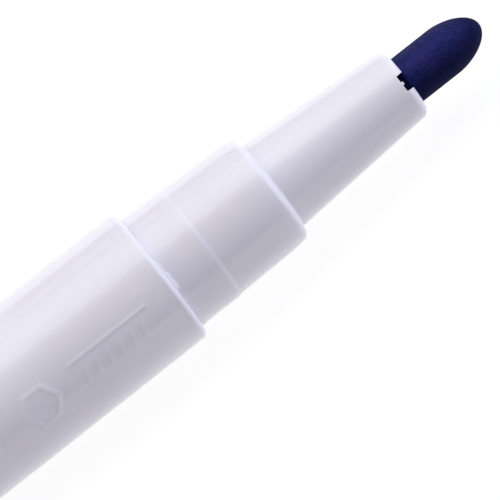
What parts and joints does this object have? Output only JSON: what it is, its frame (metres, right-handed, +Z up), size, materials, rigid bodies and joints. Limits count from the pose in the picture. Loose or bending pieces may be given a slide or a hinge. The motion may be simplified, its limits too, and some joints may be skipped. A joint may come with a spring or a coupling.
{
  "type": "fabric marking pen",
  "caption": "Fibre-tipped fabric marking pen with a stepped nose, a bullet nib, an ink filler and a clip cap posted on its tail.",
  "frame": {"origin": "on the surface the pen lies on, under the middle of its box, cap posted", "axes": "+X along the pen towards the nib, +Y across it away from the clip, +Z up"},
  "size_m": [0.1676, 0.017, 0.0145],
  "materials": {
    "white_plastic": "gloss",
    "ink_plastic": "gloss",
    "natural_plastic": "satin",
    "nib_felt": "matte",
    "filler_fibre": "matte",
    "filler_film": "gloss"
  },
  "bodies": {
    "pen": {"barrel": "white_plastic", "front_section": "white_plastic", "nib": "nib_felt", "ink_filler": "filler_fibre", "filler_film": "filler_film", "tail_plug": "ink_plastic"},
    "cap": {"cap_shell": "ink_plastic", "cap_liner": "natural_plastic"}
  },
  "joints": [
    {"name": "cap_slide", "type": "slide", "parent": "pen", "child": "cap", "axis": [-1, 0, 0], "range_m": [0, 0.03]}
  ]
}
